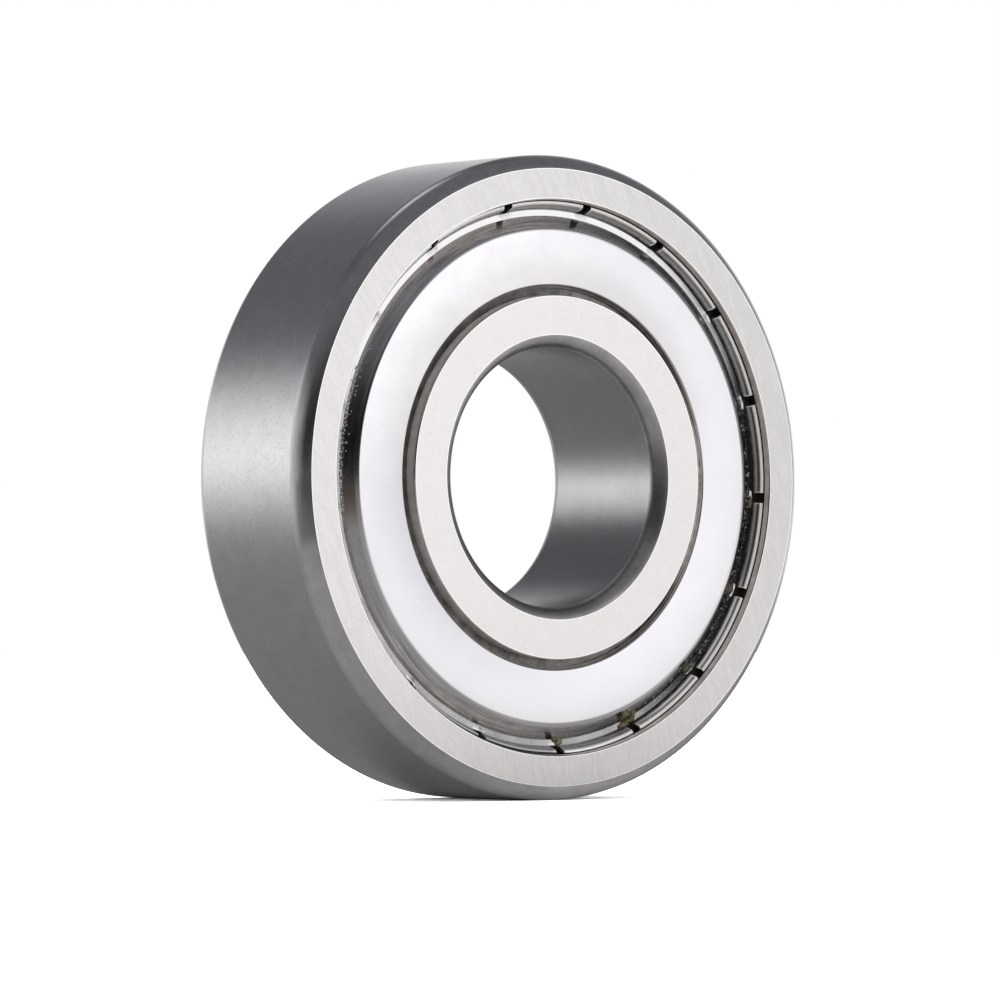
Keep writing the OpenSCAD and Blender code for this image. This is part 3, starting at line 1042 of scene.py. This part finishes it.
SHIELD_STEEL = {
    "sheet": pressed_sheet("shield_sheet", (0.92, 0.907, 0.917), (0.70, 0.695, 0.70)),
    "tab": brushed_tab("shield_tab", (0.31, 0.30, 0.29), (0.64, 0.625, 0.61)),
    # Painted light on the sheared edges at the right
    "cut": turned("sheet_cut", (0.48, 0.45, 0.43), (0.66, 0.63, 0.61), 0.45, metallic=0.1,
                  zones=((RIGHT, 1.5, 1.5),)),
    # Dark as painted shade inside the slots
    "slot": turned("slot_cut_oily", (0.09, 0.085, 0.08), (0.22, 0.21, 0.20), 0.4, metallic=0.4),
}


# ---- Pieces ----

# Angle, share across the channel, size along, across and high, seed
LUMPS = (
    (-67.3, 0.62, (1.15, 0.62, 0.34), 3),
    (-66.6, 0.86, (0.70, 0.38, 0.30), 11),
    (-87.6, 0.84, (0.60, 0.45, 0.26), 21),
)
DIRTY_LUMPS = (
    (-68.6, 0.95, (0.80, 0.30, 0.22), 61),
    (-46.1, 0.80, (0.80, 0.40, 0.24), 31),
    (-45.2, 0.96, (0.50, 0.22, 0.18), 71),
    (-24.9, 0.78, (0.60, 0.42, 0.22), 41),
    (-4.6, 0.93, (0.62, 0.26, 0.20), 51),
)
# First angle, last angle, shares across the channel, number of droplets
OILY = (
    (-60, 16, (0.42, 0.90), 120),
    (-75, -40, (0.15, 0.75), 30),
    (150, 176, (0.45, 0.80), 60),
)

outer = lathe("outer_ring_turned", outer_ring_outline(), {**STEEL, "face": OUTER_FACE})
inner = lathe("inner_ring_turned", inner_ring_outline(), {**STEEL, "face": INNER_FACE})
front = shield("shield_front_pressed", 1, SHIELD_STEEL)
rear = shield("shield_rear_pressed", -1, SHIELD_STEEL)
for piece, body, node, slot in (
    (outer, "outer_assembly", "outer_ring", "ring_steel"),
    (inner, "inner_ring", "inner_ring", "ring_steel"),
    (front, "outer_assembly", "shield_front", "shield_steel"),
    (rear, "outer_assembly", "shield_rear", "shield_steel"),
):
    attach(piece, body)
    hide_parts(node)

lump_look = grease("grease_green", (0.10, 0.10, 0.035), (0.62, 0.61, 0.29), 0.6, 0.1, (0.55, 0.26, 0.05))
# The droplets' pale colour is a painted highlight
drop_look = grease("oil_film", (0.30, 0.30, 0.29), (0.90, 0.89, 0.87), 0.35, 0.05)
dirty_look = grease("grease_dark", (0.04, 0.04, 0.03), (0.24, 0.235, 0.17), 0.4, 0.08, (0.40, 0.24, 0.10))
# Painted light and shade on the grease at the step, by sector
rim_look = turned("grease_grey", (0.16, 0.145, 0.135), (0.33, 0.31, 0.29), 0.3, metallic=0,
                  zones=((UPPER_LEFT, 0.7, 0.7), (NEAR_RIGHT, 3, 3),
                         (UPPER_RIGHT, 0.4, 0.4), (LOWER_RIGHT, 0.6, 0.6)))
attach(grease_lumps("grease_at_slots", LUMPS, lump_look), "outer_assembly")
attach(grease_lumps("grease_with_dirt", DIRTY_LUMPS, dirty_look), "outer_assembly")
drops = grease_drops("oil_droplets", OILY, drop_look)
for name, facing in (("grease_at_step_front", 1), ("grease_at_step_rear", -1)):
    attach(lathe(name, grease_rim(facing), {"grease": rim_look}), "inner_ring")
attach(drops, "outer_assembly")

# By the start of the node's name
HIDDEN_STEEL = {
    "ball_": plain_steel("ball_lapped", (0.66, 0.66, 0.67), (0.78, 0.78, 0.79), 0.08, depth=0.0001),
    "cage_": plain_steel("cage_stamped", (0.34, 0.33, 0.31), (0.52, 0.50, 0.48), 0.35),
    "rivet_": plain_steel("rivet_formed", (0.30, 0.30, 0.30), (0.46, 0.46, 0.46), 0.3),
}
for name, node in frame["nodes"].items():
    for start, material in HIDDEN_STEEL.items():
        if name.startswith(start):
            node.data.materials.clear()
            node.data.materials.append(material)


# ---- Studio ----

CAMERA_AZIMUTH = radians(-38.496)
CAMERA_ELEVATION = radians(-1.1455)
CAMERA_DISTANCE = 628.33
CAMERA_TARGET = Vector((-0.4955, 0, -2.0638))
CAMERA_LENS = 233.42
CAMERA_SENSOR = 36
# Nearest and farthest distance that the camera sees, in metres
CAMERA_CLIP = (0.05, 20)

FLOOR_HALF = 3000
# Bright enough to clip, apart from the shadow
FLOOR_SEEN = (3.4, 3.4, 3.4)
FLOOR_WARMTH = (1.01, 0.99, 0.98)
# A painted glow of the floor, which only the steel sees
FLOOR_GLOW = (1, 0.97, 0.95)
# On the floor, the ways from the object towards the camera and towards the softbox
CAMERA_WAY = (-0.62, -0.78, 0)
BOX_WAY = (0.66, -0.75, 0)
# Painted brightness of the floor in the steel: from one distance to another, and its values there
FLOOR_BEHIND = (70, 420, 0.26, 0.95)
FLOOR_AT_BOX = (25, 180, 0.42, 1)
FLOOR_UNLIT = (60, 300, 0.34, 0.16)
# Where the ring stands on the floor, from its line of contact out to the lit floor, with painted shade in the
# steel
CONTACT_X = (0.5, 7)
CONTACT_Y = (HALF_W - 2.5, HALF_W - 1)

SKY = (0.157, 0.158, 0.170)
BACKDROP = (0.95, 0.945, 0.955)
# Round soft lights: direction, angles where each starts to fade and ends, and colour
LOBES = (
    ((-0.61, 0.78, 0.12), 4, 20, (0.42, 0.395, 0.35)),
    ((0.56, 0.68, 0.42), 4, 28, (0.22, 0.22, 0.225)),
    ((0.03, 0.34, 0.94), 4, 16, (1.2, 1.2, 1.21)),
)
# Lights and the unlit side, with the azimuths and the heights where each fades in and out
UNLIT_AZIMUTHS = ((-125, -92), (26, 12))
SOFTBOX = (1.08, 1.07, 1.08)
BOX_AZIMUTHS = ((12, 28), (66, 35))
BOX_HEIGHTS = ((-0.2, -0.1), (0.8, 0.3))
STRIP = (0.62, 0.66, 0.74)
STRIP_AZIMUTHS = ((-134, -127), (-90, -119))
STRIP_HEIGHTS = ((-0.5, -0.2), (0.62, 0.3))
# What diffuse rays and the camera get instead
AMBIENT = (0.9, 0.9, 0.9)
WHITE = (1, 1, 1)


def make_camera():
    """The photo's camera, which looks at the bearing from the left and a little from below."""
    data = bpy.data.cameras.new("camera")
    data.lens = CAMERA_LENS
    data.sensor_width = CAMERA_SENSOR
    data.clip_start, data.clip_end = CAMERA_CLIP
    camera = in_scene("camera", data)
    level = cos(CAMERA_ELEVATION)
    back = Vector((sin(CAMERA_AZIMUTH) * level, -cos(CAMERA_AZIMUTH) * level,
                   sin(CAMERA_ELEVATION)))
    camera.location = (CAMERA_TARGET + back * CAMERA_DISTANCE) * MM
    camera.rotation_mode = "QUATERNION"
    camera.rotation_quaternion = (-back).to_track_quat("-Z", "Y")
    bpy.context.scene.camera = camera


def empty_tree(owner):
    """The node tree of a material or of the world, without the nodes that it starts with."""
    owner.use_nodes = True
    owner.node_tree.nodes.clear()
    return owner.node_tree


def floor_grey(at):
    """Painted brightness of the floor as the steel sees it: dark near the object, brighter farther off behind
    it and under the softbox, and unlit towards the camera."""
    away = calc("SQRT", add(times(at.x, at.x), times(at.y, at.y)))
    way = vector_calc("NORMALIZE", combine(at.x, at.y))
    to_camera = soft(dot(way, CAMERA_WAY), 0.3, 0.85)
    to_box = soft(dot(way, BOX_WAY), 0.6, 0.9)
    behind = soft(away, *FLOOR_BEHIND)
    before = soft(away, *FLOOR_AT_BOX)
    unlit = soft(away, *FLOOR_UNLIT)
    rest = minus(1, add(to_camera, to_box))
    return add(times(behind, rest), times(before, to_box), times(unlit, to_camera))


def make_floor():
    """A white table that takes the object's shadow. Only the camera sees it at full brightness."""
    z = CAD_BOX[0].z
    half = FLOOR_HALF * MM
    mesh = bpy.data.meshes.new("floor")
    corners = [(-half, -half, z), (half, -half, z), (half, half, z), (-half, half, z)]
    mesh.from_pydata(corners, [], [(0, 1, 2, 3)])
    in_scene("floor", mesh)
    material = bpy.data.materials.new("floor_white")
    tree = empty_tree(material)
    at = place_mm(tree)
    beside = soft(calc("ABSOLUTE", at.x), *CONTACT_X)
    beyond = ramp(calc("ABSOLUTE", at.y), *CONTACT_Y)
    contact = calc("MAXIMUM", beside, beyond)
    rays = tree.nodes.new("ShaderNodeLightPath")
    # Painted shade near the contact and a painted glow away from it, both seen only in the steel
    grey = times(floor_grey(at), between(contact, 0.3, 1))
    colour = mix_colour(rays.outputs["Is Camera Ray"], scaled(FLOOR_WARMTH, grey), FLOOR_SEEN)
    diffuse = add_node("ShaderNodeBsdfDiffuse", {"Color": colour})
    strength = times(rays.outputs["Is Glossy Ray"], contact, 0.08)
    lift = add_node("ShaderNodeEmission", {"Color": opaque(FLOOR_GLOW), "Strength": strength})
    both = add_node("ShaderNodeAddShader", {0: diffuse.outputs[0], 1: lift.outputs[0]})
    add_node("ShaderNodeOutputMaterial", {"Surface": both.outputs[0]})
    mesh.materials.append(material)


def lobe(direction, centre, inner, outer, light):
    """A round soft light: full inside the inner angle and nothing past the outer one."""
    toward = dot(direction, tuple(Vector(centre).normalized()))
    return scaled(light, soft(toward, cos(radians(outer)), cos(radians(inner))))


def make_world():
    """The studio: a bright backdrop behind the object, a softbox to the right in front of it, a narrow
    strip light at the far left, a lamp overhead, and an unlit side round the camera. Azimuths are in
    degrees from the front towards the right."""
    world = bpy.data.worlds.new("studio")
    bpy.context.scene.world = world
    tree = empty_tree(world)
    direction = tree.nodes.new("ShaderNodeTexCoord").outputs["Generated"]
    x, y, z = add_node("ShaderNodeSeparateXYZ", {0: direction}).outputs
    azimuth = times(calc("ARCTAN2", x, times(y, -1)), 180 / pi)
    unlit = times(window(azimuth, *UNLIT_AZIMUTHS), soft(calc("ABSOLUTE", z), 0.62, 0.22))
    sky = scaled(SKY, between(unlit, 1, 0.07))
    glow = times(soft(z, 0.50, 0.07), soft(y, 0, 0.5))
    box = times(window(azimuth, *BOX_AZIMUTHS), window(z, *BOX_HEIGHTS))
    strip = times(window(azimuth, *STRIP_AZIMUTHS), window(z, *STRIP_HEIGHTS))
    lobes = [lobe(direction, *values) for values in LOBES]
    lights = [sky, scaled(BACKDROP, glow), *lobes, scaled(SOFTBOX, box), scaled(STRIP, strip)]
    studio = reduce(partial(vector_calc, "ADD"), lights)
    rays = tree.nodes.new("ShaderNodeLightPath")
    reflected = mix_colour(rays.outputs["Is Diffuse Ray"], studio, AMBIENT)
    seen = mix_colour(rays.outputs["Is Camera Ray"], reflected, WHITE)
    background = add_node("ShaderNodeBackground", {"Color": seen})
    add_node("ShaderNodeOutputWorld", {"Surface": background.outputs[0]})


make_camera()
make_floor()
make_world()
bpy.context.scene.view_settings.view_transform = "Standard"
